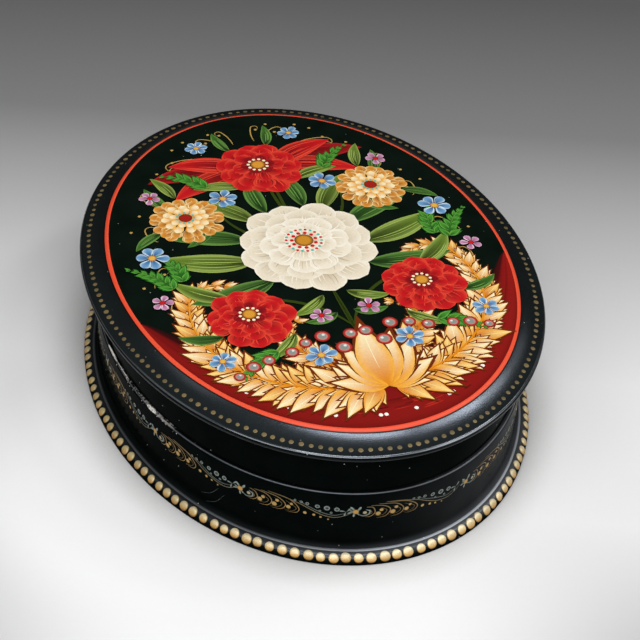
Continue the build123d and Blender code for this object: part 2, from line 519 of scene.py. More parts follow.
def dot(film, centre, radius, tone, rim=None, sides=10):
    """A round touch of the brush, with a rim of another tone where one is given."""
    turn = np.linspace(0, 2 * np.pi, sides, endpoint=False)
    circle = np.stack([np.cos(turn), np.sin(turn)], 1)
    flat = np.vstack([[[0, 0]], 0.62 * radius * circle, radius * circle]) + centre
    rim = tone if rim is None else rim
    faces = []
    for k in range(sides):
        j = (k + 1) % sides
        faces += [(0, 1 + k, 1 + j), (1 + k, 1 + sides + k, 1 + sides + j, 1 + j)]
    lay(film, flat, np.array([tone] * (sides + 1) + [rim] * sides), faces)


def hung(name, film, material, body):
    """Makes one piece of all the strokes in a film."""
    piece = link(name, np.concatenate(film["points"]), film["faces"], [material], body, smooth=False)
    tinted(piece, np.concatenate(film["tones"]))
    return piece


brushed_gold = coat_of_paint("gold_and_silver_powder_brushed", dull=(0.35, 0.55), Metallic=0.15,
                             **gold_powder)
garland = new_film(on_wall)
turn_length = (run_lengths[-1] - run_lengths[0]) / 2
gold3, faint3, stem3 = (dull_gold, bright_gold, dull_gold), (dull_gold,) * 3, (dull_gold, silver, dull_gold)
silver3, grey3 = (silver, pale_silver, silver), (silver,) * 3
flower = ((122, 2.1, 0.6), (152, 1.5, 0.36), (44, 2.1, 0.62), (186, 1.9, 0.45), (248, 1.7, 0.5),
          (306, 1.4, 0.4))
hook = ((0.7, -0.7), (1.7, -1.3), (3.0, -0.9), (3.2, 0.2), (2.3, 0.6))
curls = (((2.3, 1.5), (3.9, 1.2), (4.4, -0.4), (3.5, -1.6), (2.1, -1.7)),
         ((3.4, 1.8), (6.4, 1.5), (7.9, 0.0), (7.0, -1.8), (4.8, -2.1)),
         ((5.0, 2.2), (9.2, 1.7), (11.2, 0.0), (10.4, -1.8), (8.0, -2.2)),
         ((6.8, 2.6), (12.0, 1.8), (14.5, -0.3), (13.8, -1.9), (11.4, -2.1)))
spray_dots = ((5.1, -0.85, 0.66), (5.8, 0.3, 0.5), (8.6, -0.8, 0.68), (9.3, 0.45, 0.48), (12.0, -0.7, 0.6),
              (12.7, 0.4, 0.4))
long_stem = ((7.0, 2.6), (10.3, 2.3), (14.2, 1.3), (16.9, -0.1), (19.7, -1.3), (22.6, -1.8), (25.0, -1.1),
             (26.5, 0.1))
buds = ((13.5, 2.0, 0.3), (14.9, 1.8, 0.36), (16.4, 1.6, 0.42), (18.5, 1.2, 0.55), (20.8, 0.95, 0.7),
        (23.0, 0.8, 0.62), (21.9, -0.25, 0.3), (19.3, -0.1, 0.26))
stem_dots = ((16.0, -1.3, 0.46), (17.9, -1.6, 0.38), (19.5, -2.05, 0.3), (21.2, -2.4, 0.22))
for unit in range(garland_units):
    garland["lift"] = 0.03 * MM
    start = garland_phase + unit * turn_length / garland_units + hand_drift.get(unit, 0.0)
    origin = np.array([start, garland_level]) + rng.normal(0, unit_wobble, 2)

    def at(x, z):
        return origin + np.array([x, z]) * MM + rng.normal(0, touch_wobble, 2)

    def draw(corners, width, shape, tones):
        stroke(garland, through([at(*corner) for corner in corners]), width * MM, shape, tones)

    for lean, length, wide in flower:
        path = sweep(at(0, 0), lean + rng.normal(0, 5), (length * MM, 22), steps=8)
        stroke(garland, path, wide * MM, shape_petal, silver3)
    draw(hook, 0.38, shape_line, silver3)
    dot(garland, at(2.2, -0.3), 0.5 * MM, linear("#B9A77C"), silver)
    dot(garland, at(0, 0), 0.74 * MM, linear("#C8973F"), dull_gold)
    for corners in curls:
        draw(corners, 0.24, shape_tear, gold3)
        draw([(x - 0.75, 0.72 * z - 0.1) for x, z in corners[1:]], 0.11, shape_tear, faint3)
    for x, z, size in spray_dots:
        dot(garland, at(x, z), size * MM, bright_gold, dull_gold)
    draw(long_stem, 0.24, shape_line, stem3)
    draw([(x, z + 0.75) for x, z in long_stem[2:-1]], 0.2, shape_line, grey3)
    for x, z, size in buds:
        spot = at(x, z)
        dot(garland, spot, size * MM, silver, pale_silver)
        dot(garland, spot + rng.normal(0, 0.05, 2) * MM, 0.45 * size * MM, linear("#141A17"))
    for x, z, size in stem_dots:
        dot(garland, at(x, z), size * MM, bright_gold, dull_gold)
    for lean in (40, 165, 245):
        stroke(garland, sweep(at(25.2, 0.3), lean, (1.5 * MM, 20), steps=6), 0.42 * MM, shape_petal, silver3)
hung("wall_garland", garland, brushed_gold, "base")

# Wear on the wall
# Where fingers catch the ledge, chips of lacquer have come off and the chalk filler shows white. Two fine
# scratches cross the wall below.


def on_ledge(flat, lift):
    """Wraps lengths along the wall, and widths that run up the wall and round over its top edge."""
    lean = np.clip(flat[:, 1] / wall_round, 0, np.pi / 2)
    reach = (wall_round + lift) * np.cos(lean) - wall_round
    level = joint_level - wall_round + (wall_round + lift) * np.sin(lean) + np.minimum(flat[:, 1], 0)
    return np.column_stack([*out_of_wall(flat[:, 0], reach), level])


# Chalk and glue filler laid bare: dull white, pitted, grey with dirt in the pits.
pits = {"grain": 0.5 * MM, "detail": 4.0, "cover": {"From Min": 0.36, "From Max": 0.5, "To Min": 0.4}}
chalk_filler = coat_of_paint("chalk_filler_bare", Roughness=0.8, Specular_IOR_Level=0.2, **pits)
wear = new_film(on_ledge)
wear["lift"], speck_count = 0.012 * MM, 26
chalk3, grey_chalk3, scratch3 = ((linear(code),) * 3 for code in ("#FFFBF2", "#A09C9A", "#4C5255"))
wear_marks = (
    ((-94.5, 0.75), (-91.0, 0.85), (-87.6, 0.9), 0.5, chalk3),
    ((-87.9, 0.95), (-84.2, 1.0), (-80.5, 1.02), 0.16, chalk3),
    ((-70.6, 0.7), (-68.8, 0.74), (-67.0, 0.75), 0.85, chalk3),
    ((-67.4, 0.8), (-63.7, 0.84), (-60.0, 0.85), 0.3, grey_chalk3),
    ((-50.8, -12.9), (-47.7, -11.2), (-45.4, -8.2), 0.1, scratch3),
    ((-49.8, -15.2), (-46.3, -13.2), (-43.8, -9.6), 0.09, scratch3))
for *corners, wide, tones in wear_marks:
    stroke(wear, through(np.array(corners) * MM), wide * MM, shape_line, tones, across=4)
for k in range(speck_count):
    spot = np.array([rng.uniform(-88, -58), rng.uniform(0.2, 1.1)]) * MM
    dot(wear, spot, rng.uniform(0.06, 0.15) * MM, chalk3[0], grey_chalk3[0], sides=6)
hung("wall_wear", wear, chalk_filler, "base")

# Inner sleeve
# A thinner wound tube glued inside the wall. Its upper end stands up past the wall and guides the lid.
# It is lacquered red like the rest of the inside.
lip = 0.6 * MM
sleeve_top = sleeve_high.z
out_foot, out_head = (sleeve_margin, foot_top), (sleeve_margin, sleeve_top - lip)
in_head, in_foot = (inner_margin, sleeve_top - lip), (inner_margin, foot_top)
sleeve_section = [out_foot, *straight(out_foot, out_head)]
sleeve_section += bend((sleeve_margin - lip, sleeve_top - lip), lip, 0, 90)
sleeve_section += bend((inner_margin + lip, sleeve_top - lip), lip, 90, 180)
sleeve_section += [*straight(in_head, in_foot), in_foot]
inner_sleeve = turned("guide_sleeve", sleeve_section, [red_lacquer], "base", False)
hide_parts("inner_sleeve")

# Lid skirt
# The side of the lid, a wound tube glued under the top board and set back from the wall below. A filled cove
# leads from it out to the rim. It is lacquered black outside and red in the bore.
skirt_margin, skirt_bore, cove_height, cove_reach = -0.9 * MM, -3.9 * MM, 2.6 * MM, 1.5 * MM
rim_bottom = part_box("lid_board")[0].z
cove_hollow, cove_shares = 2.7, np.linspace(0, 1, 10)
cove_foot = (skirt_margin, rim_bottom - cove_height)
cove = [(skirt_margin + cove_reach * share ** cove_hollow, rim_bottom - cove_height * (1 - share))
        for share in cove_shares]
skirt_foot = (skirt_margin, joint_level + arris)
bore_head, bore_foot = (skirt_bore, rim_bottom), (skirt_bore, joint_level)
skirt_section = bend((skirt_margin - arris, joint_level + arris), arris, -90, 0)
skirt_section += [*straight(skirt_foot, cove_foot), *cove, *straight(cove[-1], bore_head), bore_head]
bore_row = len(skirt_section) - 1
skirt_section += [*straight(bore_head, bore_foot), bore_foot]
bore_rows = range(bore_row, len(skirt_section) - 1)
lid_skirt = turned("skirt_of_lid", skirt_section, [black_lacquer, red_lacquer], "lid", False, [bore_rows])
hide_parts("lid_skirt")

# Lid board
# A pressed papier-mache board with a bull-nosed rim, a hollow shoulder filed all round and a raised, slightly
# domed field for the picture. Hands have polished the rim and brought out a fine grain on the shoulder.
rim_margin = -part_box("lid_board")[0].x - half_width
rim_thick, field_width, field_dome = 1.84 * MM, 6.8 * MM, 0.9 * MM
lid_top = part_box("lid_board")[1].z
field_level, field_margin = lid_top - field_dome, rim_margin - field_width
rim_top, rim_round = rim_bottom + rim_thick, 0.48 * rim_thick
shoulder_foot = (rim_margin - rim_round, rim_top)
shoulder_hollow = 0.36
shoulder_rise = field_level - rim_top


def shoulder_height(margin):
    """Height of the hollow shoulder, a shallow curve between the rim and the field."""
    share = (shoulder_foot[0] - margin) / (shoulder_foot[0] - field_margin)
    return rim_top + shoulder_rise * (share - 2 * shoulder_hollow * share * (1 - share))


under_lid = [(skirt_bore, rim_bottom, share) for share in disc_shares]
rim_section = [(skirt_bore, rim_bottom), (rim_margin - 2 * rim_round, rim_bottom)]
rim_section += bend((rim_margin - rim_round, rim_bottom + rim_round), rim_round, -90, 0, 10)
rim_section += bend((rim_margin - rim_round, rim_top - rim_round), rim_round, 0, 82, 19)
shoulder_margins = np.linspace(shoulder_foot[0] - 0.1 * MM, field_margin, 24)
rim_section += [(margin, shoulder_height(margin)) for margin in shoulder_margins]
field_shares = np.concatenate([[0.9995, 0.998], np.linspace(0.985, 0.03, 48)])
dome_rings = [(field_margin, field_level + field_dome * (1 - s * s), s) for s in field_shares]
lid_rings = under_lid + rim_section + dome_rings

# The same lacquer in four states: softly bright with a fine grain on the shoulder, wet and bright on the
# rim's upper edge, half dull on the rim's face, and a deep greenish black under the painting.
handled_lacquer = oil_lacquer("black_oil_lacquer_handled", "#040706", "#0D1512", 1.0, 0.22, 0.02 * MM)
rim_lacquer = oil_lacquer("black_oil_lacquer_polished_by_hands", "#030505", "#0A100E", 0.8, 0.12, 0.002 * MM,
                          Coat_Weight=1.0)
field_lacquer = oil_lacquer("black_oil_lacquer_under_painting", "#060B08", "#101B14", 0.015, 0.16, 0.003 * MM)
face_lacquer = oil_lacquer("black_oil_lacquer_half_polished", "#030505", "#0A100E", 0.13, 0.3, 0.006 * MM)
lid_finishes = [handled_lacquer, red_lacquer, field_lacquer, black_lacquer, rim_lacquer, face_lacquer]
red_rows = range(len(under_lid))
field_rows = range(len(lid_rings) - len(dome_rings) - 1, len(lid_rings))
rim_row = len(under_lid)
face_row, shade_row, edge_row, shoulder_row = (rim_row + step for step in (8, 16, 20, 26))
lower_rows = [*range(rim_row, face_row), *range(shade_row, edge_row)]
lid_rows = [red_rows, field_rows, lower_rows, range(edge_row, shoulder_row), range(face_row, shade_row)]
lid_board = turned("top_of_lid", lid_rings, lid_finishes, "lid", True, lid_rows)


def painted_rim_highlight(spots):
    """A thin painted highlight along the rim's upper edge, broadest right of the front."""
    brightest_turn, brightest_span, least = -79, 12, 0.15
    brightest = bell(turn_of(spots), brightest_turn, brightest_span)
    line = bell(spots[:, 2], rim_top - 0.26 * MM, (0.06 + 0.06 * brightest) * MM)
    return line * (least + (1 - least) * brightest)


# Painted highlight on the rim's upper edge.
mark(lid_board, "painted_sheen", painted_rim_highlight)
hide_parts("lid_board")

# Dots on the shoulder
# A row of single touches of dull gold round the foot of the shoulder, set by eye about two millimetres apart
# and a little raised.
dot_margin, dot_count, dot_radius, dot_height = 1.42 * MM, 176, 0.56 * MM, 0.06 * MM
points, faces, tones = [], [], []
for angle in even_angles(dot_margin, dot_count):
    angle += rng.normal(0, 0.0012)
    margin = dot_margin + rng.normal(0, 0.05 * MM)
    centre = np.array([*oval_spot(angle, margin), shoulder_height(margin)])
    slope = math.atan2(shoulder_height(margin - 0.1 * MM) - shoulder_height(margin), 0.1 * MM)
    axis = math.sin(slope) * outward(angle) + math.cos(slope) * np.array([0, 0, 1.0])
    way = np.cross([0, 0, 1.0], outward(angle))

    def dot_seat(along, across):
        return centre + along * way + across * np.cross(axis, way), axis

    before = len(points)
    drop(points, faces, dot_seat, dot_radius * (1 + rng.normal(0, 0.1)), dot_height, 10, 3)
    tones += [linear("#7C6A44") * rng.uniform(0.7, 1.1)] * (len(points) - before)
shoulder_dots = link("shoulder_dots", points, faces, [brushed_gold], "lid")
tinted(shoulder_dots, np.array(tones))

# Orange line
# One line of vermilion tempera drawn round the edge of the field with the lid turning under a steady brush. A
# # dark line of painted shade lies beside it, at the step down to the shoulder.
line_width, line_lift, line_shift = 0.95 * MM, 0.03 * MM, 0.1 * MM
line_rows, shade_rows_from = np.array([-0.5, -0.33, -0.17, 0.0, 0.17, 0.33, 0.46, 0.52, 0.8]), 0.5
sway = 1 + 0.07 * np.sin(3 * angles + 0.4) + 0.05 * np.sin(11 * angles)


def lid_height(margin):
    """Height of the lid's top near the field's edge."""
    if margin > field_margin:
        return shoulder_height(margin)
    share = 1 + (margin - field_margin) / (half_length + field_margin)
    return field_level + field_dome * (1 - share * share)


# Egg tempera in thin coats under clear lacquer: full colour, faintly streaked by the brush, softly glossy.
streaks = {"grain": 0.5 * MM, "detail": 4.0, "cover": {"To Min": 0.86, "To Max": 1.1}, "relief": 0.004 * MM}
picture_paint = coat_of_paint("egg_tempera_under_lacquer", dull=(0.26, 0.42), Specular_IOR_Level=0.22,
                              **streaks)
points, faces = [], []
for row in line_rows:
    for angle, wide in zip(angles, sway):
        margin = field_margin + line_shift + row * line_width * wide
        level = lid_height(margin) + line_lift * max(2 - (2 * row) ** 2, 0.4)
        points.append((*oval_spot(angle, margin), level))
for row in range(len(line_rows) - 1):
    near, far = row * around, (row + 1) * around
    for j in range(around):
        k = (j + 1) % around
        faces.append((near + j, far + j, far + k, near + k))
orange_line = link("vermilion_line", points, faces, [picture_paint], "lid")
# The outer rows are painted dark, as shade at the step down to the shoulder.
line_tones = [linear("#F05537" if row < shade_rows_from else "#0C0605") for row in line_rows]
tinted(orange_line, np.repeat(line_tones, around, axis=0))

# Picture on the field
# A bouquet painted in many thin strokes of egg tempera and gold: a crimson foot, two great golden plumes,
# green leaves, and white, scarlet and golden blossoms, with tendrils and berries on the black.
field_half_width, field_half_length = half_width + field_margin, half_length + field_margin


def on_field(flat, lift):
    """Lays points of the picture on the domed field."""
    spread = (flat[:, 0] / field_half_width) ** 2 + (flat[:, 1] / field_half_length) ** 2
    return np.column_stack([flat, field_level + field_dome * (1 - spread) + lift])


def on_ring(flat, lift):
    """Lays points of the picture by their angle, counted clockwise, and their share of the way to its rim."""
    return on_field(np.column_stack(oval_spot(-flat[:, 0], field_margin)) * flat[:, 1:], lift)


def tones_of(*codes):
    """Linear colours. A stroke takes three of them, for its root, its tip and its edges."""
    return tuple(linear(code) for code in codes)


cream = tones_of("#A58A62", "#F0E4CC", "#FBF3E0")
ivory = tones_of("#C7B089", "#F6ECD7", "#FFF9EA")
scarlet = tones_of("#4E050C", "#C9171D", "#EE4A34")
crimson = tones_of("#34030A", "#8E1016", "#C02326")
golden = tones_of("#7A3A0C", "#DD8E2E", "#F8DA98")
flame = tones_of("#E0840C", "#FFF4C8", "#F8B43A")
ember = tones_of("#CC680A", "#FFE08C", "#EE9824")
olive = tones_of("#2C390C", "#66822A", "#A3B95C")
forest = tones_of("#16300F", "#3B6A24", "#6E9A48")
fern = tones_of("#1B5A18", "#459430", "#7DBE4E")
sky = tones_of("#2B5C92", "#6C9FCB", "#CFE4EF")
rose = tones_of("#8C4F74", "#CC8CB2", "#EBC9DA")
umber, sea, white, red, straw = tones_of("#6E2A0A", "#5CB8AC", "#FFFBEF", "#CF1E1D", "#CBA656")
shape_flame, shape_wash = swell(0.8, 1.1), swell(1, 0.7)


def petal(film, start, heading, length, width, curve, tones, hairs, shape=shape_petal):
    """One petal or leaf, with brush hairs that follow its form in tones between its root and its edge."""
    path = sweep(start, heading, (length, curve), steps=13)
    stroke(film, path, width, shape, tones, across=7)
    half = (width / 2 * shape(np.linspace(0, 1, len(path))))[:, None] * square_to(path)
    outermost = 0.74
    for v in np.linspace(-outermost, outermost, hairs):
        v += rng.normal(0, 0.06)
        first, last = int(rng.integers(1, 4)), int(rng.integers(9, 13))
        hair = tones[0] + (tones[2] - tones[0]) * rng.choice([0.15, 0.45, 1.0, 1.15])
        thick = rng.uniform(0.14, 0.3) * MM
        stroke(film, (path + half * v)[first:last], thick, shape_line, (hair,) * 3, across=2)


def blossom(film, centre, radius, rings, turn=0.0, shift=0.0):
    """A blossom of rings of petals, the outer ring first: (count, inner share, outer share, width share,
    tones, hairs). Each ring sits a little higher than the last, so that the blossom looks up."""
    for number, (count, inner, outer, wide, tones, hairs) in enumerate(rings):
        middle = np.array(centre) + [0.0, number * shift * radius]
        for k in range(count):
            heading = turn + 360 / count * (k + 0.5 * (number % 2)) + rng.normal(0, 3)
            way = np.array([math.cos(math.radians(heading)), math.sin(math.radians(heading))])
            length = (outer - inner) * radius * (1 + rng.normal(0, 0.05))
            root, curve = middle + way * inner * radius, rng.normal(0, 10)
            petal(film, root, heading, length, wide * radius, curve, tones, hairs)


def tuft(film, start, heading, length, spread, tones, under=umber):
    """A tongue of foliage: a fan of pointed strokes from one root over a dark edge, longest in the middle."""
    for lean in (-1.0, 1.0, -0.5, 0.5, 0.0):
        reach = length * (1 - 0.36 * abs(lean)) * (1 + rng.normal(0, 0.08))
        curve = 0.9 * spread * lean + rng.normal(0, 6)
        path = sweep(start, heading + 0.55 * spread * lean, (reach, curve), steps=9)
        stroke(film, path, 0.34 * reach + 0.22 * MM, shape_flame, (under,) * 3, across=2)
        stroke(film, path[:-1], 0.34 * reach, shape_flame, tones, across=5)
        stroke(film, path[2:-1], 0.16 * MM, shape_line, (tones[1],) * 3, across=2)


def plume(film, path, tongue, gap, palettes, lean=50, spread=34, under=umber):
    """A scroll of foliage: tongues along both sides of a spine, shorter towards its end."""
    run = run_along(path)
    count = int(run[-1] / gap)

    def along(share):
        return np.array([np.interp(np.clip(share, 0, 1) * run[-1], run, path[:, i]) for i in (0, 1)])

    base, tongue_thick = film["lift"], 16 * coat_thick
    for k in range(count, -1, -1):
        share = k / count
        heading = math.degrees(math.atan2(*(along(share + 0.02) - along(share - 0.02))[::-1]))
        size = tongue * (0.62 + 0.38 * math.sin(math.pi * min(1, 0.3 + 0.7 * share))) * (1 - 0.5 * share)
        for hand in (-1, 1):
            tones = palettes[int(rng.integers(0, len(palettes)))]
            film["lift"] = base + (count - k) * tongue_thick
            way = heading + hand * lean * (1 - 0.5 * share) + rng.normal(0, 4)
            tuft(film, along(share), way, size * (1 + rng.normal(0, 0.08)), -spread, tones, under)
    spine = palettes[0][0]
    stroke(film, path[1:], 0.5 * MM, shape_tear, (spine, palettes[0][2], spine), across=3)


def tendril(film, start, heading, *runs):
    """A fine curl of gold with a dot at its end."""
    path = sweep(start, heading, *runs, steps=12)
    stroke(film, path, 0.32 * MM, shape_tear, (straw,) * 3, across=2)
    dot(film, path[-1], 0.42 * MM, straw)


def berry(film, centre, radius):
    """A red berry with a grey bloom and a touch of light."""
    dot(film, centre, radius, linear("#D6463A"), linear("#7A1616"), sides=14)
    dot(film, centre, 0.66 * radius, linear("#8C938C"), linear("#C98A80"), sides=12)
    dot(film, np.array(centre) + [-0.2 * radius, 0.22 * radius], 0.2 * radius, linear("#E4E6DF"))


def mm(*numbers):
    """Sizes in millimetres as lengths in the shared frame."""
    return np.array(numbers) * MM


def on_edge(turn, share):
    """A place in the picture at an angle and a share of the way to its edge."""
    return np.array(oval_spot(turn, field_margin)) * share


ground = new_film(on_ring)
ground["lift"] = 0.012 * MM
reach = -np.radians(np.linspace(192, 348, 100))
washes = ((0.34, "#3A0608", "#4A090A", "#0A0706"), (0.24, "#7A0F0E", "#8A1311", "#3A0608"),
          (0.13, "#84130F", "#8E1611", "#620A08"))
for depth, *codes in washes:
    middle = 0.997 - depth / 2 * shape_wash(np.linspace(0, 1, len(reach)))
    stroke(ground, np.column_stack([reach, middle]), depth, shape_wash, tones_of(*codes), across=11)
ground["place"] = on_field
touches, touch_count = tones_of("#B4281C", "#6A0C0B", "#450606"), 60
for k in range(touch_count):
    turn, share = math.radians(rng.uniform(225, 318)), rng.uniform(0.84, 0.955)
    touch = touches[int(rng.integers(0, 3))]
    path = sweep(on_edge(turn, share), math.degrees(turn) + 90, (rng.uniform(2, 6) * MM, 8), steps=6)
    stroke(ground, path, rng.uniform(0.2, 0.5) * MM, shape_line, (touch,) * 3)
pearl_share, pearl_gap = 0.935, 0.028
for k in range(8):
    turn = math.radians(226 + 12.5 * k + rng.normal(0, 2))
    for step in (-0.5, 0.5)[:1 + k % 2]:
        dot(ground, on_edge(turn + step * pearl_gap, pearl_share), 0.5 * MM, white)
hung("picture_ground", ground, picture_paint, "lid")

plumes = new_film(on_field)
for hand in (1, -1):
    plumes["side"] = hand
    plumes["lift"] = 0.05 * MM
    great = sweep(mm(2, -50), 2, (28 * MM, 42), (32 * MM, 66), (15 * MM, 130), steps=16)
    plume(plumes, great, 12 * MM, 3.1 * MM, (flame, flame, ember))
    plumes["lift"] = 0.05 * MM
    inner = sweep(mm(3, -46), 34, (18 * MM, 24), (11 * MM, 100), steps=14)
    plume(plumes, inner, 9 * MM, 3.0 * MM, (ember, flame))
    plumes["lift"] = 0.08 * MM
    for heading, length, wide, tones in ((20, 26, 8, crimson), (-4, 23, 7, scarlet), (38, 20, 7, scarlet)):
        petal(plumes, mm(4, 38), heading, length * MM, wide * MM, -34, tones, 7, shape_leaf)
plumes["side"] = 1
plumes["lift"] = 0.21 * MM
for heading, length in ((158, 15), (22, 15), (132, 18), (48, 18), (110, 19), (70, 19), (90, 21)):
    tuft(plumes, mm(0, -51), heading, length * MM, (90 - heading) * 0.3 + 10, flame)
hung("picture_plumes", plumes, picture_paint, "lid")

leaves = new_film(on_field)
stem = (linear("#33420E"),) * 3
for hand in (1, -1):
    leaves["side"] = hand
    leaves["lift"] = 0.22 * MM
    for x, y, heading, *runs in ((0, -30, 70, (26, -60), (16, 40)), (0, -6, 50, (24, 10), (14, 40)),
                                 (0, 14, 84, (22, 10)), (0, -32, 92, (20, -4))):
        path = sweep(mm(x, y), heading, *((length * MM, curve) for length, curve in runs))
        stroke(leaves, path, 0.9 * MM, shape_tear, stem)
    for x, y, heading, length, curve, tones in (
            (12, -8, -20, 22, 30, forest), (14, 0, 5, 24, 25, olive), (13, 8, 32, 20, -25, forest),
            (9, 15, 62, 18, -30, olive), (5, 18, 80, 16, 25, forest), (24, -12, 20, 16, 40, olive),
            (30, -24, -10, 11, 50, forest), (14, -28, -60, 11, 40, olive), (28, 27, 62, 11, 20, forest),
            (25, 31, 84, 11, -25, olive), (32, 18, -14, 10, -40, forest), (7, 30, 30, 13, -35, olive),
            (5, 47, 62, 10, 30, forest), (20, 16, -50, 10, 30, forest), (3, -17, -50, 11, 50, olive),
            (2, -24, -35, 9, 60, forest)):
        way, long = heading + rng.normal(0, 2), length * MM
        petal(leaves, mm(x, y), way, long, 0.3 * long, curve, tones, 6, shape_leaf)
    for x, y, heading, length in ((36, -4, 70, 13), (33, -2, 95, 11), (20, -33, -12, 11), (16, 33, 60, 12)):
        leaves["lift"] = 0.28 * MM
        path = sweep(mm(x, y), heading, (length * MM, -35))
        plume(leaves, path, 4.8 * MM, 2.1 * MM, (fern,), 40, 24, fern[0])
hung("picture_leaves", leaves, picture_paint, "lid")

blossoms = new_film(on_field)
peony = ((11, 0.3, 1.0, 0.6, scarlet, 7), (9, 0.2, 0.8, 0.52, scarlet, 6), (8, 0.12, 0.6, 0.42, scarlet, 5),
         (6, 0.04, 0.4, 0.34, crimson, 4))
dahlia = ((17, 0.52, 1.0, 0.34, golden, 3), (15, 0.38, 0.82, 0.31, golden, 3),
          (12, 0.24, 0.64, 0.28, flame, 2), (9, 0.08, 0.44, 0.24, flame, 2))
snow = ((12, 0.34, 1.0, 0.54, cream, 8), (10, 0.26, 0.82, 0.5, cream, 7), (9, 0.18, 0.64, 0.43, ivory, 6),
        (8, 0.1, 0.46, 0.34, ivory, 5), (6, 0.04, 0.3, 0.24, ivory, 3))
star = ((6, 0.12, 1.0, 0.66, sky, 2),)
bud = ((5, 0.1, 1.0, 0.66, rose, 2),)


def ring_of_dots(centre, reach, count, radius, *tones):
    """A ring of touches, in its tones by turns."""
    for k in range(count):
        turn = 2 * math.pi * k / count
        spot = centre + reach * np.array([math.cos(turn), math.sin(turn)])
        dot(blossoms, spot, radius, tones[k % len(tones)])


def full_blossom(x, y, radius, rings, turn, shift, heart_rise, heart_radius, inner, ring, lift=0.34):
    """A great blossom with its heart, a disc in a ring of touches that sits a little above its middle. Sizes
    are in millimetres."""
    blossoms["lift"] = lift * MM
    blossom(blossoms, mm(x, y), radius * MM, rings, turn, shift)
    heart, disc = mm(x, y + heart_rise), heart_radius * MM
    dot(blossoms, heart, disc, linear(inner), linear("#6A300C"), sides=16)
    ring_of_dots(heart, 1.25 * disc, 11, 0.22 * disc, ring)


pearl, small_lift = linear("#FFF0C6"), 0.33 * MM
star_places = ((37.5, 9, 4.2), (13.5, 27, 3.8), (11, -37, 3.6), (33, -32, 3.2), (13, 51, 3.0))
bud_places = ((40, -8, 2.8), (31, 33, 2.8), (6, -24, 2.8))
berry_places = ((5, -36, 2.0), (1.9, -32, 1.8), (8.5, -31, 1.9), (13, -32, 1.6), (27, -36, 1.8),
                (31, -38, 1.4), (23, -35, 1.6), (17, -34, 1.7))
small_kinds = ((star, star_places, 0.26, "#E5B44A", "#B44E26"), (bud, bud_places, 0.28, "#CF1E1D", "#6A0B10"))
for hand in (1, -1):
    blossoms["side"] = hand
    for rings, places, eye, inner, rim in small_kinds:
        for x, y, radius in places:
            blossoms["lift"] = small_lift
            blossom(blossoms, mm(x, y), radius * MM, rings, rng.uniform(0, 60))
            dot(blossoms, mm(x, y), eye * radius * MM, linear(inner), linear(rim))
    for x, y, radius in berry_places:
        blossoms["lift"] = small_lift
        berry(blossoms, mm(x, y), radius * MM)
    full_blossom(25, 21, 9.5, dahlia, 8, 0.03, 0.9, 1.7, "#A5201A", sea)
    full_blossom(22, -20, 10.5, peony, 20, 0.05, 1.5, 1.8, "#DE9A34", pearl)
blossoms["side"] = 1
full_blossom(0, 37, 11.5, peony, 90, 0.05, 1.7, 2.0, "#DE9A34", pearl)
full_blossom(0, 2, 17.5, snow, 90, 0.03, 2.1, 2.4, "#CF8E2B", red, lift=0.36)
ring_of_dots(mm(0, 4.1), 4.4 * MM, 22, 0.4 * MM, red, sea)
hung("picture_blossoms", blossoms, picture_paint, "lid")

tendrils = new_film(on_field)
tendril_dots = ((23, 41), (26, 43), (21, 47), (36, 27), (39, 21), (42, 4), (42.5, -1), (8, 56.5), (16, 55),
                (19, 52.5))
for hand in (1, -1):
    tendrils["side"] = hand
    tendrils["lift"] = 0.03 * MM
    for x, y, heading, first, second in ((13, 46, 24, (9, -40), (8, -250)), (6, 50, 80, (7, -60), (6, -250)),
                                         (30, 29, 40, (6, 40), (6, 230)), (34, 15, 40, (6, 60), (6, 240)),
                                         (17, 37, 20, (8, 50), (7, 250)), (40, -2, 100, (7, 30), (5, 240)),
                                         (3, 50, 95, (7, -30), (4, -240)), (38, -14, 60, (5, 60), (4, 220))):
        tendril(tendrils, mm(x, y), heading, (first[0] * MM, first[1]), (second[0] * MM, second[1]))
    for x, y in tendril_dots:
        dot(tendrils, mm(x, y) + rng.normal(0, 0.3, 2) * MM, 0.4 * MM, straw)
hung("picture_tendrils", tendrils, brushed_gold, "lid")

# Table and background
# Not part of the object: one sheet of pale studio paper, its colour painted from white in front to grey at
# the
# # back, with two painted pools of light in front and a painted soft contact shadow under the box.
view_turn = math.radians(-23.17)
sheet_size, sheet_level = 3.0, -0.02 * MM
sheet = bpy.data.meshes.new("studio_sheet")
corners = [(x * sheet_size, y * sheet_size, sheet_level) for x, y in ((-1, -1), (1, -1), (1, 1), (-1, 1))]
sheet.from_pydata(corners, [], [(0, 1, 2, 3)])
floor = bpy.data.objects.new("studio_sheet", sheet)
floor.rotation_euler.z = view_turn
bpy.context.scene.collection.objects.link(floor)

# Matt white paper, with its uneven light, its pools of light and the shadow under the box painted into
# # its colour. Its fibres are too fine to show and are drawn as faint specks of 1.5 mm.
paper, tree, shader = finish_named("studio_paper_matt", Roughness=0.9, Specular_IOR_Level=0.1)
place = add(tree, "TexCoord", out="Object")
depth = add(tree, "SeparateXYZ", {0: place}, "Y")
near_edge, far_edge = -0.1, 0.2
share = add(tree, "MapRange", {"Value": depth, "From Min": near_edge, "From Max": far_edge})
lit = add(tree, "ValToRGB", {"Fac": share})
greys = ((-0.1, "#A8A8A8"), (-0.05, "#ECECEC"), (0.0, "#EAEAEA"), (0.054, "#C2C2C2"), (0.115, "#868686"),
         (0.2, "#646464"))
stops = lit.node.color_ramp.elements
for number, (distance, code) in enumerate(greys):
    where = (distance - near_edge) / (far_edge - near_edge)
    stop = stops[number] if number < 2 else stops.new(where)
    stop.position, stop.color = where, rgba(code)
pools = (((0.0, -0.08, 0.0), 0.1, 0.025, "#F8F8F8"), ((-0.035, -0.045, 0.0), 0.05, 0.02, "#FFFFFF"))
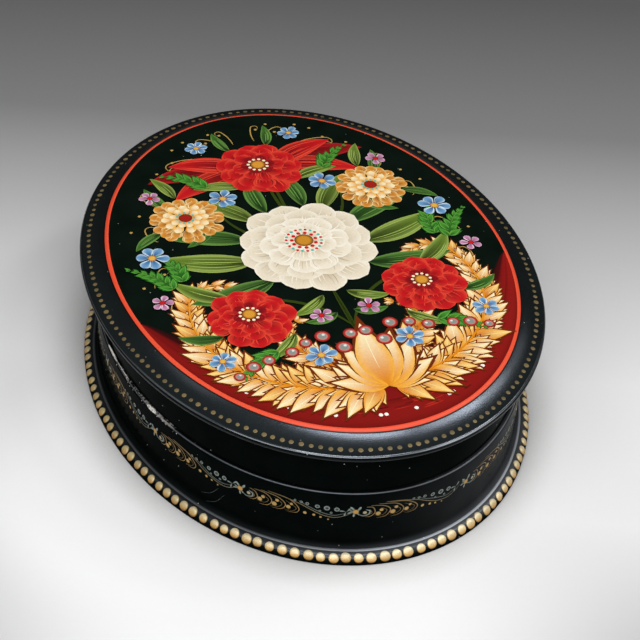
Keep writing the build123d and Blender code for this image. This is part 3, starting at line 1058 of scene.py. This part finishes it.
for centre, edge, core, code in pools:
    away = add(tree, "VectorMath", {0: place, 1: centre}, "Value", operation="DISTANCE")
    span = {"From Min": edge, "From Max": core}
    pool = add(tree, "MapRange", {"Value": away, **span}, interpolation_type="SMOOTHSTEP")
    lit = add(tree, "Mix", {0: pool, 6: lit, 7: rgba(code)}, 2, data_type="RGBA")
fibre_size, shadow_reach, shadow_dim = 1.5 * MM, 13 * MM, 0.45
fibre = add(tree, "TexNoise", {"Vector": place, "Scale": 1 / fibre_size, "Detail": 3.0})
speckle = add(tree, "MapRange", {"Value": fibre, "To Min": 0.99, "To Max": 1.01})
# Painted contact shadow: the colour darkens where the box is close by and shuts out the open sky.
open_sky = add(tree, "AmbientOcclusion", {"Distance": shadow_reach}, "AO", samples=8)
dim = add(tree, "MapRange", {"Value": open_sky, "From Min": 0.45, "To Min": shadow_dim})
even = add(tree, "Math", {0: speckle, 1: dim}, operation="MULTIPLY")
plug(shader, {"Base Color": add(tree, "VectorMath", {0: lit, 1: even}, operation="MULTIPLY")})
sheet.materials.append(paper)

# Lamps
# Not part of the object: a narrow strip overhead, a large soft box in front, weaker ones at the left, an arc
# of small boxes at the right, and a dim room.
world = bpy.data.worlds.new("dim_studio")
bpy.context.scene.world = world
world.use_nodes = True
tree = world.node_tree
height = add(tree, "SeparateXYZ", {0: add(tree, "TexCoord")}, "Z")
rise = add(tree, "Math", {0: height, 1: 3.0}, operation="POWER", use_clamp=True)
glow = add(tree, "MapRange", {"Value": rise, "To Min": 0.03, "To Max": 0.25})
plug(tree.nodes["Background"], {"Strength": glow, "Color": rgba("#FFFFFF")})
lamp_distance = 0.8


def soft_box(name, turn, lean, wide, tall, watts):
    """A lamp that hangs lean degrees from straight up, turned from the view's direction, facing the box."""
    lamp = bpy.data.lights.new(name, "AREA")
    lamp.shape, lamp.size, lamp.size_y = "RECTANGLE", wide, tall
    lamp.energy, lamp.color = watts, linear("#FFFFFF")
    holder = bpy.data.objects.new(name, lamp)
    a, b = view_turn + math.radians(turn), math.radians(lean)
    way = Vector((math.sin(a) * math.sin(b), -math.cos(a) * math.sin(b), math.cos(b)))
    holder.location = way * lamp_distance
    holder.rotation_euler = way.to_track_quat("Z", "Y").to_euler()
    bpy.context.scene.collection.objects.link(holder)


soft_box("key_strip", 20, 13, 0.5, 0.1, 2.14)
soft_box("front_box", 5, 45, 0.5, 0.33, 1.97)
soft_box("fill_box", -35, 46, 0.42, 0.42, 1.27)
soft_box("left_box", -90, 40, 0.3, 0.3, 0.23)
for turn, lean, watts in ((91, 30, 0.48), (105, 39, 0.72), (117, 48, 0.27), (129, 58, 0.05)):
    soft_box("side_box", turn, lean, 0.14, 0.14, watts)

# Camera
# Not part of the object: the viewpoint of the photograph, a long lens looking down at about forty degrees.
view_tilt, view_roll, view_distance = math.radians(39.85), math.radians(3.68), 419.9 * MM
aim = Vector((-0.70, -10.81, 24.16)) * MM
lens = bpy.data.cameras.new("view")
lens.sensor_width, lens.lens = 36.0, 96.08
camera = bpy.data.objects.new("view", lens)
level = Vector((math.cos(view_turn), math.sin(view_turn), 0.0))
forward = Vector((math.sin(view_turn), -math.cos(view_turn), 0.0))
back = forward * math.cos(view_tilt) + Vector((0.0, 0.0, math.sin(view_tilt)))
upright = back.cross(level)
right = math.cos(view_roll) * level + math.sin(view_roll) * upright
above = back.cross(right)
camera.matrix_world = Matrix((right, above, back)).transposed().to_4x4()
camera.location = aim + back * view_distance
lens.clip_start, lens.clip_end = 0.01, 20.0
bpy.context.scene.collection.objects.link(camera)
bpy.context.scene.camera = camera
bpy.context.scene.view_settings.view_transform = "Standard"
